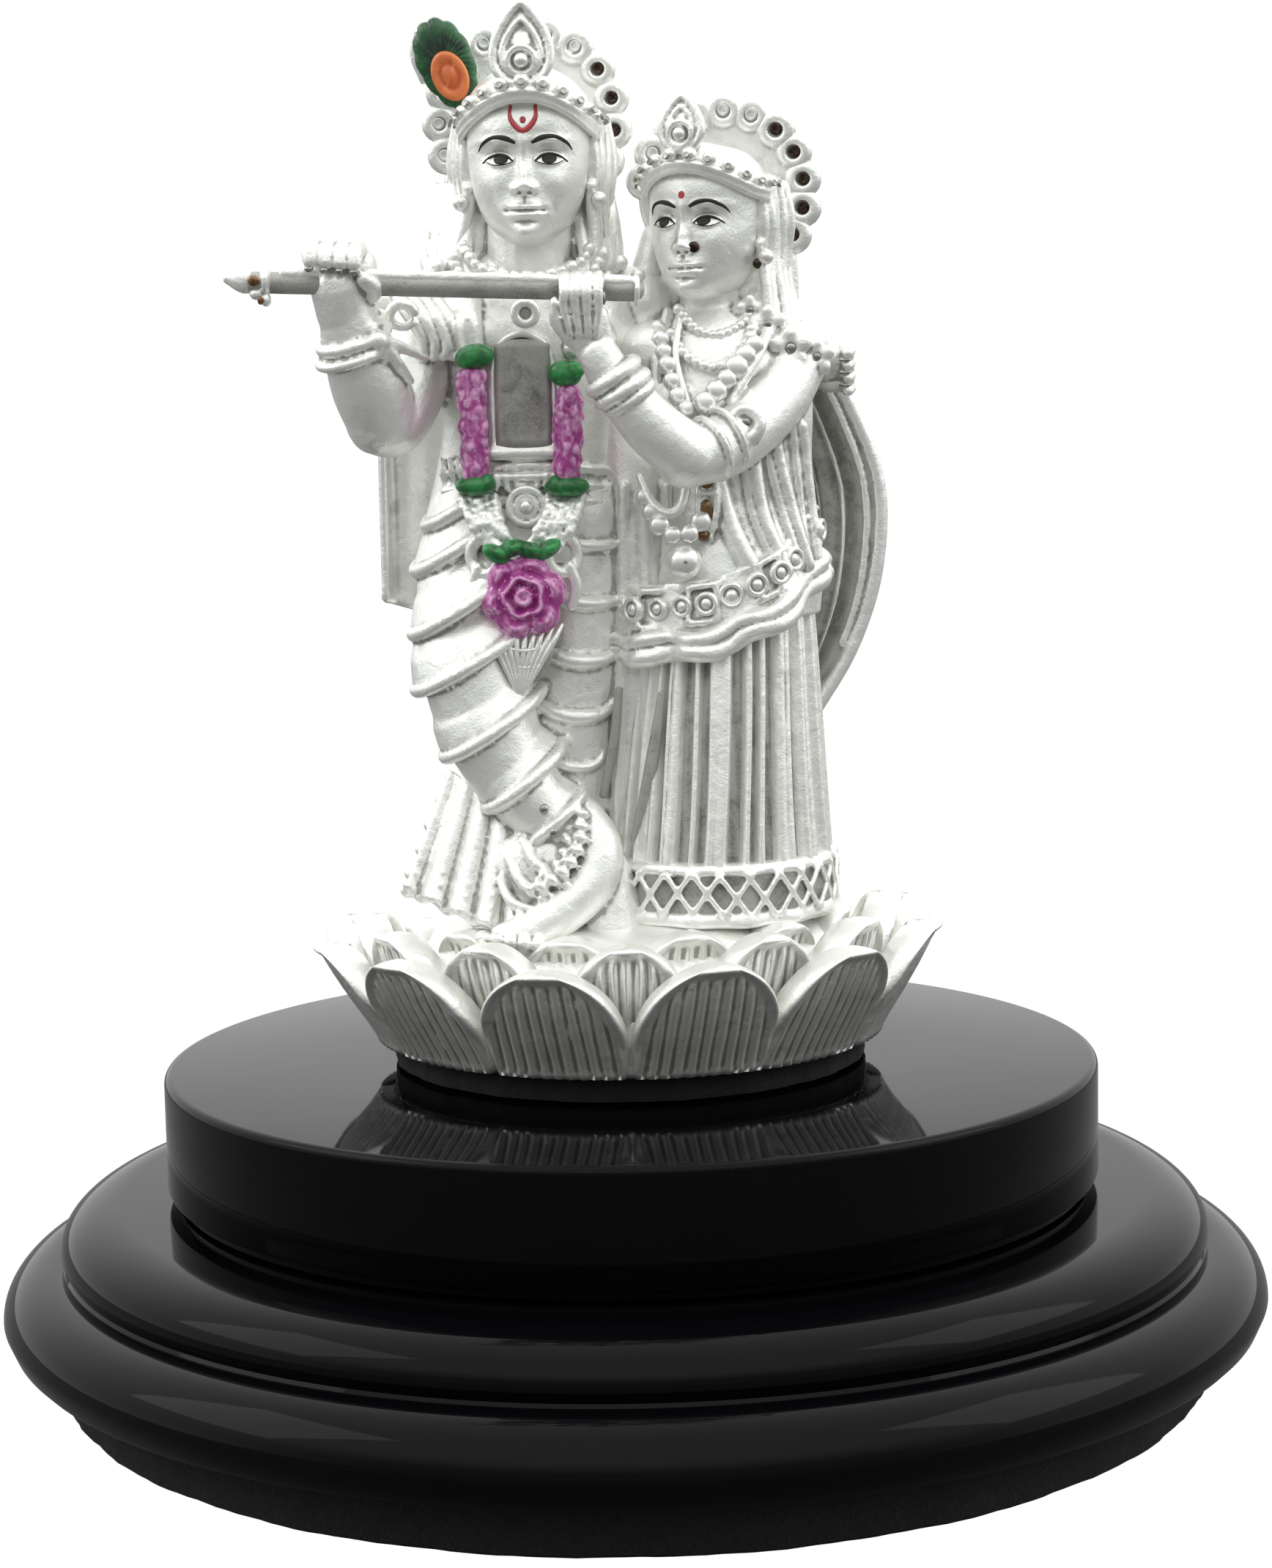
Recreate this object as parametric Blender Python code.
import math

import bmesh
import bpy
import numpy as np
from mathutils import Vector

# Driving dimensions, metres. The origin is the middle of the foot's underside.
DRUM_RADIUS = 0.0369
DRUM_HEIGHT = 0.0097
DRUM_EASE = 0.0006
DRUM_GROOVE = 0.0009
LEDGE_WIDTH = 0.0035
INNER_STEP_WIDTH = 0.0050
INNER_STEP_HEIGHT = 0.0032
STEP_GROOVE = 0.0012
OUTER_STEP_WIDTH = 0.0046
OUTER_STEP_HEIGHT = 0.0039
OUTER_WALL_HEIGHT = 0.0020
WALL_TAPER = 0.0012
FOOT_INSET = 0.0045
FOOT_HEIGHT = 0.0044
JOINT_GAP = 0.0003
BASE_SIDES = 60

LOTUS_FOOT_RADIUS = 0.0189
LOTUS_RIM_RADIUS = 0.0240
LOTUS_RIM_HEIGHT = 0.0102
LOTUS_FLOOR = 0.0100
LOTUS_FLOOR_RADIUS = 0.0145
CUP_EASE = 0.0003
CUP_SWELL = 0.0002
CUP_LIP = 0.0015
INNER_FOOT_INSET = 0.0016
INNER_TIP_INSET = 0.0034
HEART_FOOT_INSET = 0.0045
HEART_TIP_INSET = 0.0076
PETAL_COUNT = 12
PETAL_THICKNESS = 0.0014
RIB_DEPTH = 0.00016
PAD_INSET = 0.0002
PAD_HEIGHT = 0.0016

# The figures keep their pose and carving as shares of the flute player's height: CANON parts of it.
FIGURE_HEIGHT = 0.0700
CANON = 70.0
FLUTE_LENGTH = 0.0300
FLUTE_RADIUS = 0.00095

# How finely the casting is fused, and how many faces it keeps.
GRAIN = 0.00042
GROUP_FACES = 6700

STEP_RADIUS = DRUM_RADIUS + LEDGE_WIDTH + INNER_STEP_WIDTH
BASE_RADIUS = STEP_RADIUS + OUTER_STEP_WIDTH
MOULDED_FOOT = FOOT_HEIGHT + JOINT_GAP
STEP_LEVEL = MOULDED_FOOT + OUTER_WALL_HEIGHT + OUTER_STEP_HEIGHT
MOULDED_TOP = STEP_LEVEL + STEP_GROOVE + INNER_STEP_HEIGHT
DRUM_TOP = MOULDED_TOP + JOINT_GAP + DRUM_HEIGHT
PAD_TOP = DRUM_TOP + JOINT_GAP + PAD_HEIGHT
GROUP_FOOT = PAD_TOP + JOINT_GAP
SHARE = FIGURE_HEIGHT / CANON
FIGURE_FEET = 10.0


def clearScene():
    for item in list(bpy.data.objects):
        bpy.data.objects.remove(item, do_unlink=True)


def makeMaterial(name, colour, roughness, metallic):
    material = bpy.data.materials.new(name)
    material.use_nodes = True
    shader = material.node_tree.nodes["Principled BSDF"]
    shader.inputs["Base Color"].default_value = (*colour, 1.0)
    shader.inputs["Roughness"].default_value = roughness
    shader.inputs["Metallic"].default_value = metallic
    return material


def turned(name, profile, material, sides=BASE_SIDES):
    """A closed turned solid from (radius, height) pairs that run from the underside to the top."""
    mesh = bpy.data.meshes.new(name)
    bm = bmesh.new()
    rings = []
    for radius, height in profile:
        ring = []
        for step in range(sides):
            angle = 2 * math.pi * step / sides
            ring.append(bm.verts.new((radius * math.cos(angle), radius * math.sin(angle), height)))
        rings.append(ring)
    for low, high in zip(rings, rings[1:]):
        for step in range(sides):
            after = (step + 1) % sides
            bm.faces.new((low[step], low[after], high[after], high[step]))
    bm.faces.new(list(reversed(rings[0])))
    bm.faces.new(rings[-1])
    bm.to_mesh(mesh)
    bm.free()
    mesh.shade_smooth()
    mesh.set_sharp_from_angle(angle=math.radians(35))
    mesh.materials.append(material)
    item = bpy.data.objects.new(name, mesh)
    bpy.context.collection.objects.link(item)
    return item


def arc(centre, radii, start, end, steps):
    points = []
    for step in range(steps + 1):
        angle = math.radians(start + (end - start) * step / steps)
        points.append((centre[0] + radii[0] * math.cos(angle), centre[1] + radii[1] * math.sin(angle)))
    return points


def smoothPath(points, steps):
    """A Catmull-Rom curve through rows of numbers, so radii can ride along with the positions."""
    rows = np.asarray(points, dtype=float)
    if len(rows) < 3:
        share = np.linspace(0, 1, steps + 1)[:, None]
        return rows[0] * (1 - share) + rows[-1] * share
    padded = np.vstack([2 * rows[0] - rows[1], rows, 2 * rows[-1] - rows[-2]])
    out = []
    spans = len(rows) - 1
    for step in range(steps + 1):
        place = spans * step / steps
        span = min(int(place), spans - 1)
        t = place - span
        a, b, c, d = padded[span:span + 4]
        out.append(0.5 * (2 * b + (c - a) * t + (2 * a - 5 * b + 4 * c - d) * t * t
                          + (3 * b - a - 3 * c + d) * t ** 3))
    return np.array(out)


def unit(vector):
    return vector / max(np.linalg.norm(vector), 1e-9)


class Clay:
    """Collects overlapping closed shells that become one casting.

    Shells are given in units of scale, and level is the height that their own floor comes to.
    """

    def __init__(self):
        self.verts = []
        self.faces = []
        self.count = 0
        self.scale = 1.0
        self.floor = 0.0
        self.level = 0.0

    def stand(self, scale, floor, level):
        self.scale, self.floor, self.level = scale, floor, level

    def shell(self, verts, faces):
        verts = np.asarray(verts, dtype=float)
        volume = 0.0
        for face in faces:
            for a, b in zip(face[1:], face[2:]):
                volume += np.dot(verts[face[0]], np.cross(verts[a], verts[b]))
        for face in faces:
            ordered = face if volume > 0 else face[::-1]
            self.faces.append([index + self.count for index in ordered])
        self.verts.append((verts - (0, 0, self.floor)) * self.scale + (0, 0, self.level))
        self.count += len(verts)

    def rings(self, rings):
        """Skin a stack of closed rings and cap both ends."""
        rings = np.asarray(rings, dtype=float)
        rows, sides = rings.shape[:2]
        verts = list(rings.reshape(-1, 3))
        verts.append(rings[0].mean(axis=0))
        verts.append(rings[-1].mean(axis=0))
        faces = []
        for row in range(rows - 1):
            for side in range(sides):
                after = (side + 1) % sides
                faces.append([row * sides + side, row * sides + after,
                              (row + 1) * sides + after, (row + 1) * sides + side])
        for side in range(sides):
            after = (side + 1) % sides
            faces.append([rows * sides, after, side])
            last = (rows - 1) * sides
            faces.append([rows * sides + 1, last + side, last + after])
        self.shell(verts, faces)

    def tube(self, points, steps=10, sides=10, flat=1.0, facing=(0, -1, 0)):
        """A round-ended limb through rows of x, y, z, radius; flat squashes it along facing."""
        path = smoothPath(points, steps)
        centres, radii = path[:, :3], path[:, 3]
        ways = np.gradient(centres, axis=0)
        rings = []
        last = len(centres) - 1
        for index in range(last + 1):
            way = unit(ways[index])
            out = np.asarray(facing, dtype=float)
            out = out - way * np.dot(out, way)
            out = unit(out) if np.linalg.norm(out) > 1e-3 else unit(np.cross(way, (1, 0, 0.01)))
            side = np.cross(way, out)
            swell = [(0.0, 1.0)]
            if index == 0:
                swell = [(-0.95, 0.3), (-0.7, 0.72), (0.0, 1.0)]
            if index == last:
                swell = [(0.0, 1.0), (0.7, 0.72), (0.95, 0.3)]
            for along, size in swell:
                middle = centres[index] + way * radii[index] * along * min(1.0, flat)
                ring = []
                for step in range(sides):
                    angle = 2 * math.pi * step / sides
                    ring.append(middle + radii[index] * size
                                * (side * math.cos(angle) + out * math.sin(angle) * flat))
                rings.append(ring)
        self.rings(rings)

    def blob(self, centre, radii, turn=0.0, rows=8, sides=14):
        """An ellipsoid turned about the vertical."""
        cos, sin = math.cos(turn), math.sin(turn)
        rings = []
        for row in range(rows + 1):
            pole = math.pi * (0.02 + 0.96 * row / rows)
            ring = []
            for step in range(sides):
                angle = 2 * math.pi * step / sides
                x = radii[0] * math.sin(pole) * math.cos(angle)
                y = radii[1] * math.sin(pole) * math.sin(angle)
                ring.append((centre[0] + x * cos - y * sin, centre[1] + x * sin + y * cos,
                             centre[2] - radii[2] * math.cos(pole)))
            rings.append(ring)
        self.rings(rings)

    def loft(self, levels, steps=18, sides=48, pleats=0, depth=0.0, power=1.0):
        """A body from rows of z, x, y, half width, half depth; pleats deepen from top to bottom."""
        rows = smoothPath(levels, steps)
        top, bottom = rows[:, 0].max(), rows[:, 0].min()
        rings = []
        for z, x, y, wide, deep in rows:
            share = ((top - z) / (top - bottom)) ** power
            ring = []
            for step in range(sides):
                angle = 2 * math.pi * step / sides
                grow = 1.0 + (depth * share * math.cos(pleats * angle) / wide if pleats else 0.0)
                ring.append((x + wide * grow * math.cos(angle), y + deep * grow * math.sin(angle), z))
            rings.append(ring)
        self.rings(rings)

    def sheet(self, rows, thickness):
        """A cloth or petal: a grid of points thickened both ways along its own normal."""
        grid = np.asarray(rows, dtype=float)
        normal = np.cross(np.gradient(grid, axis=0), np.gradient(grid, axis=1))
        normal /= np.maximum(np.linalg.norm(normal, axis=2, keepdims=True), 1e-9)
        half = np.asarray(thickness, dtype=float) / 2
        front, back = grid + normal * half, grid - normal * half
        m, n = grid.shape[:2]
        verts = np.vstack([front.reshape(-1, 3), back.reshape(-1, 3)])
        faces = []
        for i in range(m - 1):
            for j in range(n - 1):
                a, b, c, d = i * n + j, i * n + j + 1, (i + 1) * n + j + 1, (i + 1) * n + j
                faces.append([a, b, c, d])
                faces.append([d + m * n, c + m * n, b + m * n, a + m * n])
        edge = [j for j in range(n)] + [i * n + n - 1 for i in range(1, m)]
        edge += [(m - 1) * n + j for j in range(n - 2, -1, -1)] + [i * n for i in range(m - 2, 0, -1)]
        for a, b in zip(edge, edge[1:] + edge[:1]):
            faces.append([b, a, a + m * n, b + m * n])
        self.shell(verts, faces)

    def beads(self, points, count, radius):
        for place in smoothPath(points, count - 1)[:, :3]:
            self.blob(place, (radius, radius, radius), rows=4, sides=7)

    def object(self, name, material, grain, faces):
        """One closed casting: the shells fused, smoothed and thinned to a face budget."""
        mesh = bpy.data.meshes.new(name)
        points = np.vstack(self.verts)
        mesh.from_pydata([tuple(p) for p in points], [], self.faces)
        mesh.update()
        mesh.materials.append(material)
        item = bpy.data.objects.new(name, mesh)
        bpy.context.collection.objects.link(item)
        fuse = item.modifiers.new("fuse", "REMESH")
        fuse.mode = "VOXEL"
        fuse.voxel_size = grain
        fuse.adaptivity = 0.0
        ease = item.modifiers.new("ease", "SMOOTH")
        ease.factor = 0.5
        ease.iterations = 2
        graph = bpy.context.evaluated_depsgraph_get()
        fused = bpy.data.meshes.new_from_object(item.evaluated_get(graph))
        bm = bmesh.new()
        bm.from_mesh(fused)
        keepLargest(bm)
        bmesh.ops.triangulate(bm, faces=bm.faces)
        total = len(bm.faces)
        bm.to_mesh(mesh)
        bm.free()
        item.modifiers.clear()
        thin = item.modifiers.new("thin", "DECIMATE")
        thin.ratio = faces / total
        print(name, "fused faces", total)
        return item


def keepLargest(bm):
    """Drop any loose crumb left beside the main body."""
    seen = set()
    islands = []
    for face in bm.faces:
        if face in seen:
            continue
        group = [face]
        seen.add(face)
        for member in group:
            for edge in member.edges:
                for other in edge.link_faces:
                    if other not in seen:
                        seen.add(other)
                        group.append(other)
        islands.append(group)
    islands.sort(key=len)
    for group in islands[:-1]:
        bmesh.ops.delete(bm, geom=group, context="FACES")


def local(origin, turn):
    """A placing function for a head or hand: x to its left, y backwards, z up, turned about z."""
    cos, sin = math.cos(turn), math.sin(turn)

    def place(x, y, z):
        return (origin[0] + x * cos - y * sin, origin[1] + x * sin + y * cos, origin[2] + z)

    return place


def lotus(clay):
    """The seed-cup floor and three rings of petals, each ring inside the last and half a petal round."""
    foot, floor = LOTUS_FOOT_RADIUS, LOTUS_FLOOR
    clay.loft([(0.0, 0, 0, foot - CUP_EASE, foot - CUP_EASE),
               (floor * 0.5, 0, 0, foot + CUP_SWELL, foot + CUP_SWELL),
               (floor * 0.8, 0, 0, foot - CUP_LIP, foot - CUP_LIP),
               (floor, 0, 0, LOTUS_FLOOR_RADIUS, LOTUS_FLOOR_RADIUS)], steps=6, sides=48)
    pitch = 360 / PETAL_COUNT
    rings = [(0.0, 0.0, 0.01, 1.0, 0.56, -13.0, 1.0),
             (-INNER_FOOT_INSET, -INNER_TIP_INSET, 0.20, 1.08, 0.52, -13.0 + pitch / 2, 0.86),
             (-HEART_FOOT_INSET, -HEART_TIP_INSET, 0.50, 1.16, 0.55, -13.0, 0.8)]
    for footInset, tipInset, low, high, half, start, thick in rings:
        for index in range(PETAL_COUNT):
            petal(clay, math.radians(start - 90 + pitch * index), LOTUS_FOOT_RADIUS + footInset,
                  LOTUS_RIM_RADIUS + tipInset, low * LOTUS_RIM_HEIGHT, high * LOTUS_RIM_HEIGHT,
                  math.radians(half * pitch), thick * PETAL_THICKNESS)


def petal(clay, middle, footRadius, tipRadius, low, high, half, thick, ribs=3):
    """A round-tipped petal that leans out, dished across, with upright ribs on its face."""
    grid = []
    for i in range(11):
        rise = i / 10
        width = math.sqrt(max(0.0, 1 - max(0.0, (rise - 0.2) / 0.8) ** 2)) * 0.97 + 0.03
        row = []
        for j in range(13):
            across = j / 6 - 1
            lean = rise ** 1.3
            radius = footRadius + (tipRadius - footRadius) * lean - thick / 2 * across * across * rise
            radius += RIB_DEPTH * math.cos(across * ribs * 2 * math.pi) * (1 - rise ** 4)
            angle = middle + across * width * half * (0.86 + 0.14 * rise)
            row.append((radius * math.cos(angle), radius * math.sin(angle),
                        low + (high - low) * rise))
        grid.append(row)
    clay.sheet(grid, thick)


def head(clay, place, turn, size):
    """A plain carved head in the canon's shares: brow, eyes, nose and mouth on even thirds."""
    wide, deep, tall = 4.3 * size, 4.9 * size, 5.7 * size
    clay.blob(place(0, 0.4 * size, 0.8 * size), (wide, deep * 0.92, tall * 0.9), turn, 12, 20)
    clay.blob(place(0, -0.9 * size, -1.6 * size), (wide * 0.86, deep * 0.72, tall * 0.72), turn, 12, 20)
    clay.blob(place(0, -3.5 * size, -4.3 * size), (1.5 * size, 1.2 * size, 1.2 * size), turn)
    clay.tube([(*place(0, -4.3 * size, 0.6 * size), 0.5 * size),
               (*place(0, -5.0 * size, -0.8 * size), 0.6 * size),
               (*place(0, -5.4 * size, -1.7 * size), 0.85 * size)], 4, 8)
    clay.blob(place(0, -4.35 * size, -3.05 * size), (1.35 * size, 0.8 * size, 0.42 * size), turn)
    for side in (-1, 1):
        clay.blob(place(1.75 * side * size, -3.75 * size, 0.25 * size),
                  (1.05 * size, 0.7 * size, 0.6 * size), turn)
        clay.tube([(*place(0.6 * side * size, -4.5 * size, 1.2 * size), 0.35),
                   (*place(1.8 * side * size, -4.3 * size, 1.65 * size), 0.4),
                   (*place(3.2 * side * size, -3.0 * size, 1.0 * size), 0.3)], 4, 6)
        clay.blob(place(4.3 * side * size, 0.4 * size, -0.2 * size),
                  (0.7 * size, 1.0 * size, 1.6 * size), turn)
        clay.blob(place(4.7 * side * size, -0.4 * size, -2.6 * size), (0.8, 0.8, 0.8), turn)


def crown(clay, place, turn, size, plume):
    """The close cap, its bead band and the teardrop plume over the brow."""
    clay.blob(place(0, 0.6 * size, 4.2 * size), (4.7 * size, 4.7 * size, 4.6 * size), turn, 12, 20)
    band = []
    for step in range(15):
        angle = math.radians(-200 + 220 * step / 14)
        band.append(place(4.95 * size * math.cos(angle), 0.3 * size + 5.0 * size * math.sin(angle),
                          (3.6 - 0.5 * math.cos(angle) ** 2) * size))
    clay.beads(band, 17, 0.75 * size)
    clay.tube([(*p, 0.5) for p in [(q[0], q[1], q[2] - 1.1 * size) for q in band]], 20, 6)
    clay.tube([(*place(0, -4.6 * size, 4.9 * size), 1.3), (*place(0, -4.5 * size, 6.6 * size), 2.2),
               (*place(0, -4.1 * size, 8.1 * size), 1.5), (*place(0, -3.5 * size, 4.9 * size + plume), 0.3)],
              8, 12, flat=0.45)
    clay.blob(place(0, -5.4 * size, 6.4 * size), (0.95, 0.6, 0.95), turn)


def halo(clay, place, turn, radius, beadRadius):
    """The upright disc behind the head, dished forward, with a bead rim."""
    rings = []
    for share, back in ((1.0, 0.9), (1.0, 0.0), (0.86, -0.45), (0.5, -0.2), (0.05, -0.1)):
        rings.append([place(radius * share * math.cos(2 * math.pi * k / 32), back,
                            radius * share * math.sin(2 * math.pi * k / 32)) for k in range(32)])
    clay.rings(rings)
    rim = []
    for step in range(25):
        angle = math.radians(-35 + 250 * step / 24)
        rim.append(place(radius * math.cos(angle), -0.3, radius * math.sin(angle)))
    clay.beads(rim, 23, beadRadius)


def hand(clay, wrist, palm, tips, fingers, size):
    """A palm with parallel fingers that end at the tips line."""
    clay.tube([(*wrist, 1.5 * size), (*palm, 1.9 * size)], 3, 10, flat=0.8)
    first, last = np.asarray(tips[0], dtype=float), np.asarray(tips[1], dtype=float)
    palm = np.asarray(palm, dtype=float)
    for index in range(fingers):
        share = index / (fingers - 1)
        tip = first * (1 - share) + last * share
        root = palm + (tip - (first + last) / 2) * 0.75
        knuckle = (root + tip) / 2 + np.array((0, -0.5, 0.35)) * size
        clay.tube([(*root, 0.75 * size), (*knuckle, 0.72 * size), (*tip, 0.58 * size)], 4, 7)


def wrap(clay, centre, way, radius, tilt, thick):
    """A rolled cloth fold: a ring round a limb, tilted across it."""
    way = unit(np.asarray(way, dtype=float))
    across = unit(np.cross(way, (0, -1, 0)))
    front = np.cross(across, way)
    ring = []
    for step in range(17):
        angle = 2 * math.pi * step / 16
        ring.append((*(np.asarray(centre) + radius * (across * math.cos(angle) + front * math.sin(angle))
                       + way * tilt * math.cos(angle)), thick))
    clay.tube(ring, 20, 6)


def player(clay):
    """The flute player, standing at the left with one shin crossed in front."""
    turn = math.radians(-3)
    face = local((-6.5, -3.6, 67.4), turn)
    head(clay, face, turn, 1.03)
    crown(clay, face, turn, 1.03, 7.3)
    halo(clay, local((-6.5, 1.6, 71.0), turn), turn, 7.6, 0.8)
    feather = [(-13.2, -2.4, 71.2, 0.7), (-12.9, -2.2, 74.2, 1.9), (-12.9, -1.8, 77.0, 1.9),
               (-13.8, -1.4, 79.4, 0.6)]
    clay.tube(feather, 8, 10, flat=0.5)
    clay.tube([(-6.6, -2.6, 58.0, 2.5), (-6.5, -3.0, 62.5, 2.5)], 3, 12)
    clay.loft([(60.8, -6.6, -2.3, 3.6, 3.0), (58.6, -6.5, -2.2, 7.4, 4.3), (55.5, -6.5, -2.5, 8.4, 5.2),
               (52.0, -6.6, -2.8, 7.3, 5.3), (48.0, -6.7, -2.8, 6.6, 5.1), (44.5, -6.8, -2.7, 7.2, 5.2),
               (41.0, -7.0, -2.5, 8.0, 5.7), (37.0, -7.4, -2.3, 8.6, 6.0), (33.0, -7.6, -2.2, 8.2, 5.8)],
              steps=20, sides=36)
    for side in (-1, 1):
        clay.blob((-6.3 + 7.9 * side, -1.4, 57.0), (3.1, 3.0, 2.9))
        clay.tube([(-6.5 + 4.6 * side, 0.0, 66.5, 1.4), (-6.5 + 6.2 * side, -0.4, 62.0, 1.6),
                   (-6.5 + 7.6 * side, -0.8, 58.5, 1.3)], 6, 8)
        clay.tube([(-6.9 + 3.6 * side, -6.6, 55.6, 0.6), (-6.9 + 3.7 * side, -8.2, 54.0, 1.35)], 3, 8)
        clay.tube([(-7.0 + 3.7 * side, -8.6, 52.6, 1.2), (-7.1 + 3.6 * side, -8.8, 48.6, 1.35),
                   (-7.2 + 3.4 * side, -9.0, 45.4, 1.2)], 6, 10)
        clay.blob((-7.2 + 3.5 * side, -9.0, 44.2), (1.5, 1.3, 0.95))
        clay.tube([(-7.2 + 3.3 * side, -9.0, 43.2, 0.8), (-7.3 + 2.0 * side, -10.0, 40.2, 0.85),
                   (-7.3 + 0.6 * side, -10.6, 37.8, 0.8)], 6, 7)
    chest = [[(-9.3 + 4.6 * j / 4, -8.4 - 0.2 * math.sin(math.pi * j / 4), 57.4 - 10.4 * i / 4)
              for j in range(5)] for i in range(5)]
    clay.sheet(chest, 1.0)
    rose(clay, (-7.3, -11.4, 36.0), 2.9)
    clay.tube([(-7.3, -9.6, 33.5, 1.7), (-7.5, -10.4, 31.0, 1.3), (-7.7, -10.4, 28.4, 0.4)], 5, 8)
    clay.blob((-7.3, -8.9, 42.9), (1.3, 1.0, 1.3))
    belt = [(-6.8 + 7.6 * math.cos(a), -2.7 + 5.8 * math.sin(a), 45.2 - 0.5 * math.sin(-a))
            for a in [math.radians(v) for v in range(-200, 25, 15)]]
    clay.tube([(*p, 0.75) for p in belt], 24, 7)
    # right arm, at the left of the view, folded up to the flute
    clay.tube([(-14.0, -1.8, 56.6, 3.0), (-15.3, -4.6, 52.4, 3.0), (-16.8, -8.0, 48.6, 2.8),
               (-17.8, -9.4, 48.6, 2.6)], 8, 12)
    clay.tube([(-17.6, -9.2, 48.8, 2.75), (-18.5, -10.6, 51.6, 2.85), (-19.3, -11.8, 54.6, 2.45),
               (-19.9, -12.4, 57.6, 1.95)], 8, 12)
    for height, radius in ((53.2, 2.85), (54.6, 2.7)):
        wrap(clay, (-19.3, -11.6, height), (-0.3, -0.3, 1), radius - 0.2, 0.1, 0.45)
    wrap(clay, (-15.3, -3.8, 53.6), (-0.4, -0.6, -0.8), 2.75, 0.0, 0.5)
    clay.blob((-15.4, -6.6, 55.4), (1.4, 1.1, 1.2))
    hand(clay, (-20.1, -12.5, 57.8), (-20.5, -12.4, 59.8),
         ((-22.4, -14.8, 59.6), (-18.5, -14.6, 59.4)), 4, 1.05)
    clay.tube([(-22.4, -13.4, 60.6, 1.0), (-18.6, -13.2, 60.5, 1.0)], 4, 8)
    # far arm, round the companion's back, its fingers over her shoulder
    clay.tube([(1.6, -0.4, 57.0, 2.7), (5.5, 4.2, 55.6, 2.4), (11.0, 5.9, 54.2, 2.3), (15.6, 4.0, 53.4, 1.9),
               (16.6, 1.6, 53.0, 1.7)], 10, 10)
    for index in range(4):
        clay.tube([(16.3, 2.6, 54.2 - 1.05 * index, 0.72), (17.9, 1.4, 53.9 - 1.05 * index, 0.7),
                   (17.9, -0.8, 53.3 - 1.05 * index, 0.62)], 5, 7)
    # the flute
    bore = FLUTE_RADIUS / SHARE
    clay.tube([(-27.4, -13.9, 59.1, bore), (-27.4 + FLUTE_LENGTH / SHARE, -12.4, 57.7, bore)], 6, 10)
    clay.blob((-28.0, -13.9, 59.1), (1.1, 0.8, 0.7))
    clay.blob((-26.4, -13.9, 57.9), (0.7, 0.7, 1.1))
    # standing leg, then the crossed leg, each in rolled folds
    clay.tube([(-2.6, -2.4, 40.0, 5.2), (-2.8, -3.2, 30.0, 5.2), (-3.2, -3.8, 22.0, 4.4),
               (-3.2, -4.0, 15.0, 3.4), (-3.2, -4.0, 10.5, 2.9)], 12, 14)
    clay.tube([(0.6, -1.6, 50.0, 3.0), (1.2, -2.4, 42.0, 4.2), (0.8, -2.6, 30.0, 4.4),
               (0.2, -2.6, 12.0, 4.0)], 10, 14)
    for index in range(7):
        z = 37.5 - 3.0 * index
        clay.tube([(-6.6, -7.2, z + 1.6, 0.5), (-3.8, -8.5 + 0.1 * index, z - 0.5, 0.75),
                   (-0.4, -7.2 + 0.15 * index, z + 0.6, 0.65), (1.8, -5.4, z + 2.2, 0.5)], 8, 6)
    leg = [(-11.0, -3.0, 40.0, 4.3), (-11.2, -5.6, 33.5, 4.2), (-11.2, -7.8, 28.5, 4.1),
           (-9.8, -8.8, 24.2, 3.8), (-7.4, -9.6, 20.4, 3.2), (-5.0, -10.2, 18.2, 2.5)]
    clay.tube(leg, 14, 16)
    folds = smoothPath(leg, 20)
    ways = np.gradient(folds[:, :3], axis=0)
    for index in (2, 5, 7, 10, 12, 14, 16, 18):
        wrap(clay, folds[index, :3], ways[index], folds[index, 3] * 0.97, 1.1, 0.6)
    wrap(clay, (-4.2, -10.1, 17.9), (0.75, -0.2, -0.6), 2.1, 0.0, 0.55)
    clay.tube([(-2.4, -9.4, 17.0, 2.2), (-3.2, -11.2, 14.4, 2.6), (-4.2, -13.0, 12.0, 2.6),
               (-4.9, -14.2, 10.4, 2.0)], 8, 12, flat=0.85, facing=(1, -0.6, 0.3))
    for index in range(5):
        clay.blob((-6.3 + 0.85 * index, -14.8, 9.9 + 0.1 * index), (0.6, 0.8, 0.75))
    pleatFan(clay, (-12.2, -4.4, 24.0), 1.8, (-11.9, -7.4, 10.6), 5.2, 6, 0.55)
    # the shawl behind
    back = []
    for i in range(9):
        row = []
        for j in range(13):
            x = -18.3 + 20.0 * j / 12
            row.append((x, 3.4 + 0.5 * math.cos(j * 2.1) - 0.9 * (j / 6 - 1) ** 2, 57.5 - 23.2 * i / 8))
        back.append(row)
    clay.sheet(back, 1.5)


def rose(clay, centre, radius):
    clay.blob(centre, (radius * 0.8, 1.2, radius * 0.8))
    for index in range(6):
        angle = math.radians(60 * index + 20)
        clay.blob((centre[0] + radius * 0.6 * math.cos(angle), centre[1] + 0.1,
                   centre[2] + radius * 0.6 * math.sin(angle)), (radius * 0.42, 1.3, radius * 0.42))
    clay.blob((centre[0], centre[1] - 0.9, centre[2]), (radius * 0.4, 0.9, radius * 0.4))
    clay.tube([(centre[0] - 2.2, centre[1] + 1.2, centre[2] + 3.2, 0.5),
               (centre[0], centre[1] + 0.6, centre[2] + 3.7, 0.8),
               (centre[0] + 2.3, centre[1] + 1.2, centre[2] + 3.2, 0.5)], 6, 8)


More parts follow.
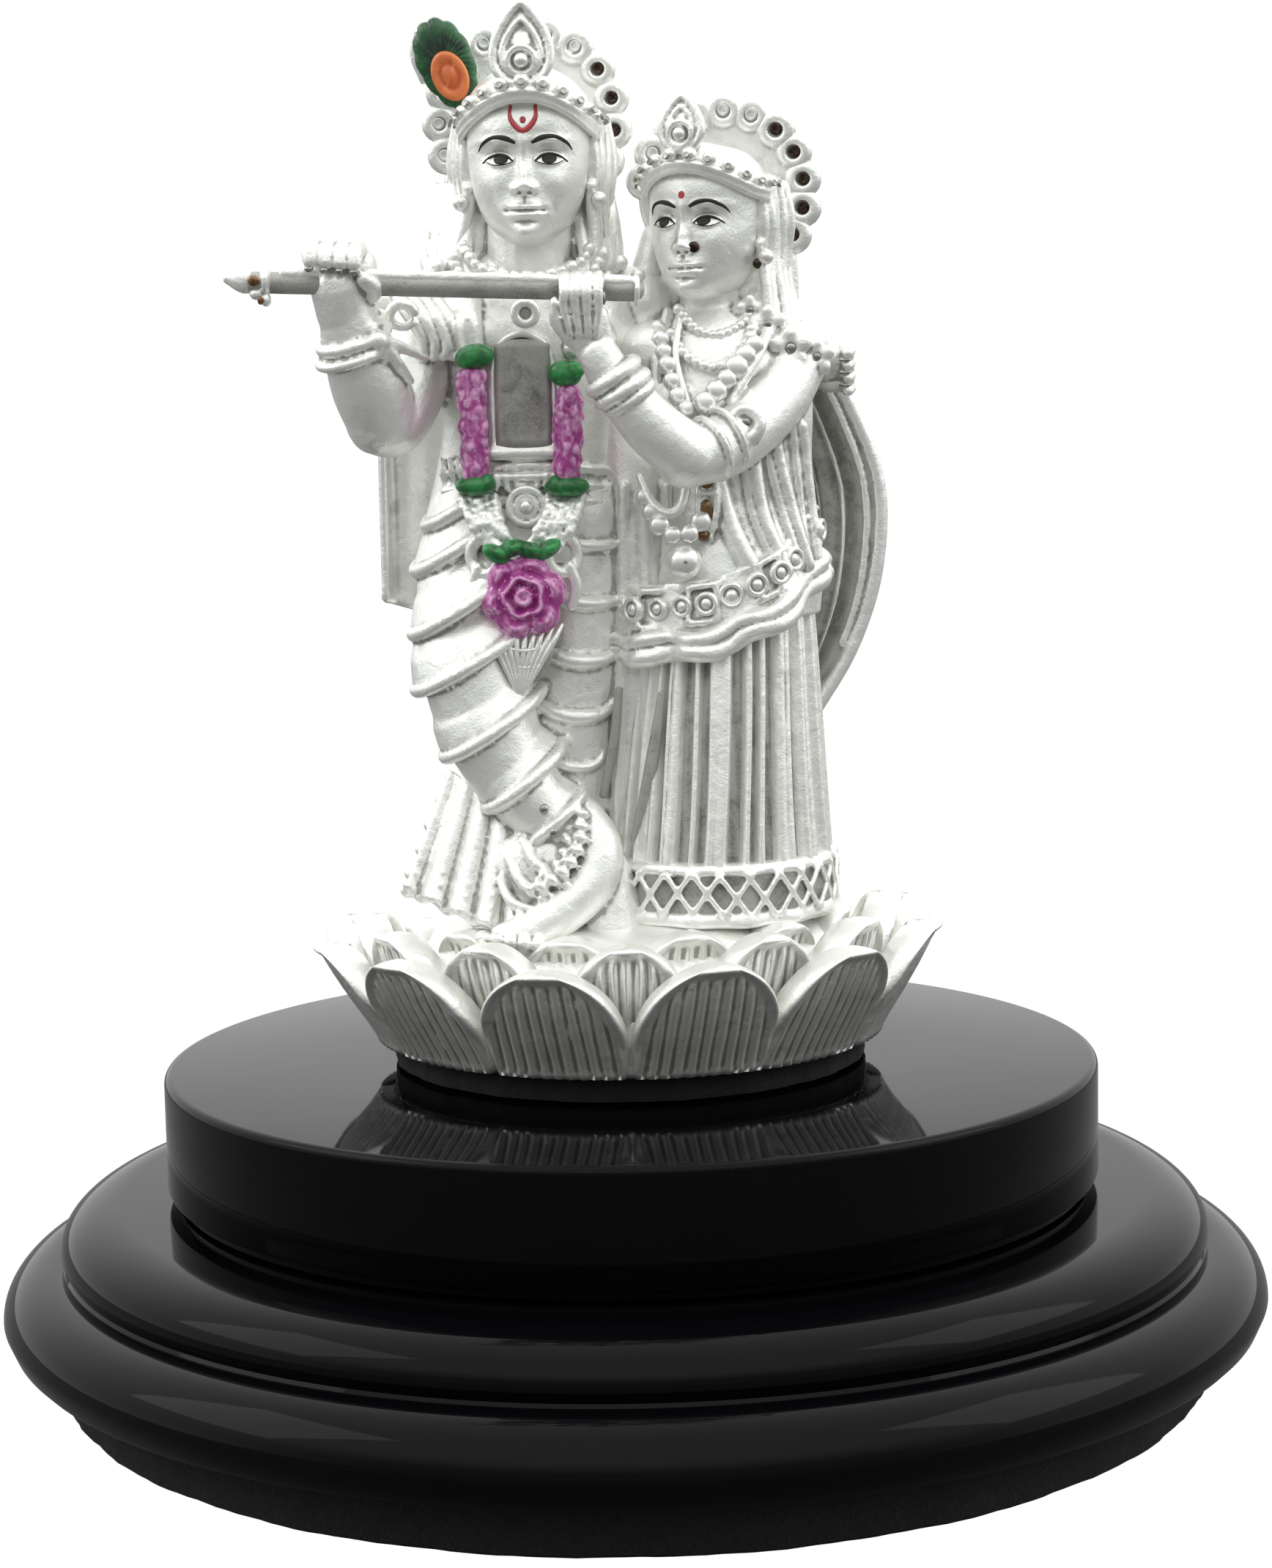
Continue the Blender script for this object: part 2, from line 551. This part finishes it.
def pleatFan(clay, top, topHalf, bottom, bottomHalf, pleats, depth):
    """A pleated cloth end that spreads from a gathered top to a rolled hem."""
    grid = []
    for i in range(9):
        share = i / 8
        half = topHalf + (bottomHalf - topHalf) * share ** 0.8
        row = []
        for j in range(pleats * 4 + 1):
            across = j / (pleats * 2) - 1
            wave = depth * math.cos(across * pleats * math.pi)
            row.append((top[0] + (bottom[0] - top[0]) * share + half * across,
                        top[1] + (bottom[1] - top[1]) * share + wave + 1.6 * across * across * share,
                        top[2] + (bottom[2] - top[2]) * share + 1.2 * across * share))
        grid.append(row)
    clay.sheet(grid, 1.5)
    clay.tube([(*p, 0.6) for p in grid[-1][::2]], 16, 6)


def companion(clay):
    """The companion, standing at the right, turned to the flute player."""
    turn = math.radians(-26)
    face = local((7.2, -3.4, 62.8), turn)
    head(clay, face, turn, 0.96)
    crown(clay, face, turn, 0.94, 4.6)
    halo(clay, local((8.6, 1.5, 65.3), turn), turn, 7.2, 0.75)
    clay.tube([(7.2, -2.4, 55.0, 2.1), (7.2, -3.0, 58.5, 2.1)], 3, 12)
    clay.loft([(56.2, 7.6, -2.4, 2.8, 2.6), (54.6, 8.0, -2.6, 5.4, 3.8), (52.0, 8.3, -3.0, 6.5, 4.6),
               (48.6, 8.4, -3.4, 6.3, 5.3), (45.4, 8.5, -3.1, 5.4, 4.7), (41.6, 8.4, -2.9, 4.9, 4.4),
               (37.0, 8.2, -2.9, 5.6, 5.2)], steps=14, sides=32)
    clay.loft([(40.0, 8.4, -2.9, 5.2, 4.8), (34.0, 8.0, -2.9, 6.6, 6.4), (26.0, 7.6, -3.1, 7.4, 7.6),
               (19.0, 7.3, -3.3, 8.1, 8.6), (14.0, 7.1, -3.4, 8.6, 9.2), (10.4, 7.0, -3.5, 9.0, 9.7)],
              steps=14, sides=112, pleats=28, depth=0.42, power=0.5)
    clay.loft([(14.6, 7.1, -3.4, 8.9, 9.4), (14.0, 7.1, -3.4, 9.3, 9.9), (11.0, 7.0, -3.5, 9.5, 10.1),
               (10.0, 7.0, -3.5, 9.0, 9.7)], steps=6, sides=56, pleats=14, depth=0.25, power=0.2)
    overSkirt(clay)
    for x in (4.9, 10.9):
        clay.blob((x, -6.6, 49.0), (2.6, 1.9, 2.3))
    # near shoulder, then the arm across to the flute
    clay.blob((2.6, -4.2, 53.2), (2.5, 2.4, 2.4))
    clay.blob((13.6, -3.2, 53.4), (2.7, 2.6, 2.5))
    clay.tube([(13.6, -3.4, 52.8, 2.5), (11.6, -6.6, 49.0, 2.4), (8.2, -10.2, 46.4, 2.3),
               (4.6, -12.4, 45.6, 2.2)], 9, 12)
    clay.tube([(4.8, -12.4, 45.6, 2.25), (2.0, -13.2, 48.2, 2.1), (-0.4, -13.6, 51.4, 1.75),
               (-1.2, -13.7, 53.0, 1.5)], 9, 12)
    for share in (0, 1):
        wrap(clay, (-0.2 - 0.6 * share, -13.6, 51.2 + 0.9 * share), (-0.5, -0.1, 0.85), 1.85, 0.0, 0.42)
    wrap(clay, (9.6, -8.8, 47.4), (-0.85, -0.5, -0.35), 2.4, 0.0, 0.45)
    clay.blob((9.2, -11.2, 47.2), (1.0, 0.8, 1.0))
    hand(clay, (-1.3, -13.7, 53.2), (-2.0, -14.2, 55.2), ((-3.6, -14.9, 58.0), (-0.8, -14.6, 58.3)), 4, 0.8)
    clay.tube([(-2.9, -13.6, 55.6, 0.6), (-3.5, -13.4, 57.6, 0.55)], 3, 7)
    for index in range(5):
        angle = math.radians(72 * index)
        clay.blob((12.7 + 1.1 * math.cos(angle), -6.2, 54.4 + 1.1 * math.sin(angle)), (0.75, 0.7, 0.75))
        clay.blob((15.4 + 1.0 * math.cos(angle), -4.4, 52.8 + 1.0 * math.sin(angle)), (0.7, 0.7, 0.7))
    # necklaces and the waist jewel
    for drop, size in ((50.6, 0.62), (47.6, 0.62)):
        clay.beads([(4.6, -6.4, 54.8), (5.0, -8.2, drop + 1.6), (7.0, -9.0, drop), (9.2, -8.4, drop + 1.4),
                    (11.4, -6.0, 54.6)], 13, size)
    clay.beads([(4.4, -7.6, 43.4), (3.9, -8.2, 41.2), (4.8, -8.6, 40.0), (6.2, -8.4, 41.4),
                (6.6, -8.0, 44.0)], 9, 0.6)
    clay.blob((4.7, -9.0, 38.3), (1.25, 1.1, 1.25))
    # hair and veil strands beside the neck
    clay.tube([(11.4, -0.6, 63.5, 1.4), (12.9, 0.0, 59.0, 1.6), (13.9, 0.4, 54.6, 1.4)], 6, 8)
    clay.tube([(3.0, -1.6, 62.0, 1.0), (2.4, -1.8, 57.5, 1.2), (2.6, -2.4, 54.5, 1.0)], 6, 8)
    veil(clay)


def overSkirt(clay):
    """The short over-skirt: its lower edge climbs from the near hip to the far side."""
    grid = []
    for i in range(6):
        share = i / 5
        row = []
        for j in range(37):
            angle = math.radians(-190 + 200 * j / 36)
            low = 29.4 + 5.2 * (0.5 + 0.5 * math.cos(angle)) + 0.35 * math.cos(j * 1.9)
            z = 40.5 + (low - 40.5) * share
            swell = (40.5 - z) / 10
            wide, deep = 5.5 + 1.9 * swell, 5.1 + 2.1 * swell
            row.append((8.2 + wide * math.cos(angle), -2.9 + deep * math.sin(angle), z))
        grid.append(row)
    clay.sheet(grid, 1.3)
    for lift, size in ((0.0, 0.5), (3.2, 0.4)):
        clay.tube([(p[0], p[1], p[2] + lift, size) for p in grid[-1]], 40, 6)
    for j in range(3, 34, 3):
        x, y, z = grid[-1][j]
        clay.blob((x, y - 0.1, z + 1.6), (0.95, 0.95, 0.95), rows=5, sides=8)


def veil(clay):
    """The long veil: round the back, bowed out at the viewer's right, gathered in again low down."""
    outline = smoothPath([(15.4, 2.2, 53.5), (18.6, 3.4, 47.8), (20.6, 4.0, 42.0), (20.2, 4.0, 35.6),
                          (17.6, 3.8, 29.6), (14.6, 3.2, 24.6)], 12)
    grid = []
    for i, edge in enumerate(outline):
        row = []
        for j in range(15):
            share = j / 14
            x = edge[0] + (0.4 - edge[0]) * share
            bow = 2.6 * math.sin(math.pi * share) + 0.45 * math.cos(share * 26)
            sag = 0.6 * share - 1.5 * math.sin(math.pi * share)
            row.append((x, edge[1] + bow + 0.6 * share, edge[2] + sag))
        grid.append(row)
    clay.sheet(grid, 1.5)


def buildBase():
    black = makeMaterial("black_lacquer", (0.012, 0.012, 0.013), 0.08, 0.0)
    felt = makeMaterial("black_felt", (0.015, 0.015, 0.016), 0.9, 0.0)
    foam = makeMaterial("black_foam", (0.02, 0.02, 0.02), 0.8, 0.0)
    foot = BASE_RADIUS - FOOT_INSET
    turned("felt_foot", [(foot - DRUM_EASE, 0.0), (foot, DRUM_EASE), (foot, FOOT_HEIGHT)], felt)
    wall = MOULDED_FOOT + OUTER_WALL_HEIGHT
    profile = [(BASE_RADIUS - WALL_TAPER, MOULDED_FOOT),
               (BASE_RADIUS - WALL_TAPER / 2, MOULDED_FOOT + DRUM_EASE)]
    profile += arc((STEP_RADIUS, wall), (OUTER_STEP_WIDTH, OUTER_STEP_HEIGHT), 0, 90, 5)
    profile += [(STEP_RADIUS - STEP_GROOVE / 4, STEP_LEVEL + STEP_GROOVE / 3)]
    profile += arc((STEP_RADIUS - INNER_STEP_WIDTH, STEP_LEVEL + STEP_GROOVE),
                   (INNER_STEP_WIDTH, INNER_STEP_HEIGHT), 0, 90, 5)
    turned("moulded_base", profile, black)
    low = MOULDED_TOP + JOINT_GAP
    waist = DRUM_RADIUS - DRUM_GROOVE
    profile = [(waist, low), (waist, low + DRUM_GROOVE / 2), (DRUM_RADIUS, low + DRUM_GROOVE)]
    profile += arc((DRUM_RADIUS - DRUM_EASE, DRUM_TOP - DRUM_EASE), (DRUM_EASE, DRUM_EASE), 0, 90, 3)
    turned("upper_drum", profile, black)
    rim = LOTUS_FOOT_RADIUS - PAD_INSET
    turned("lotus_pad", [(rim, PAD_TOP - PAD_HEIGHT), (rim, PAD_TOP)], foam, sides=48)


def buildGroup():
    silver = makeMaterial("satin_silver", (0.86, 0.86, 0.85), 0.38, 1.0)
    clay = Clay()
    lotus(clay)
    clay.stand(SHARE, FIGURE_FEET, LOTUS_FLOOR)
    player(clay)
    companion(clay)
    item = clay.object("silver_idol", silver, GRAIN, GROUP_FACES)
    item.location = Vector((0.0, 0.0, GROUP_FOOT))


clearScene()
buildBase()
buildGroup()
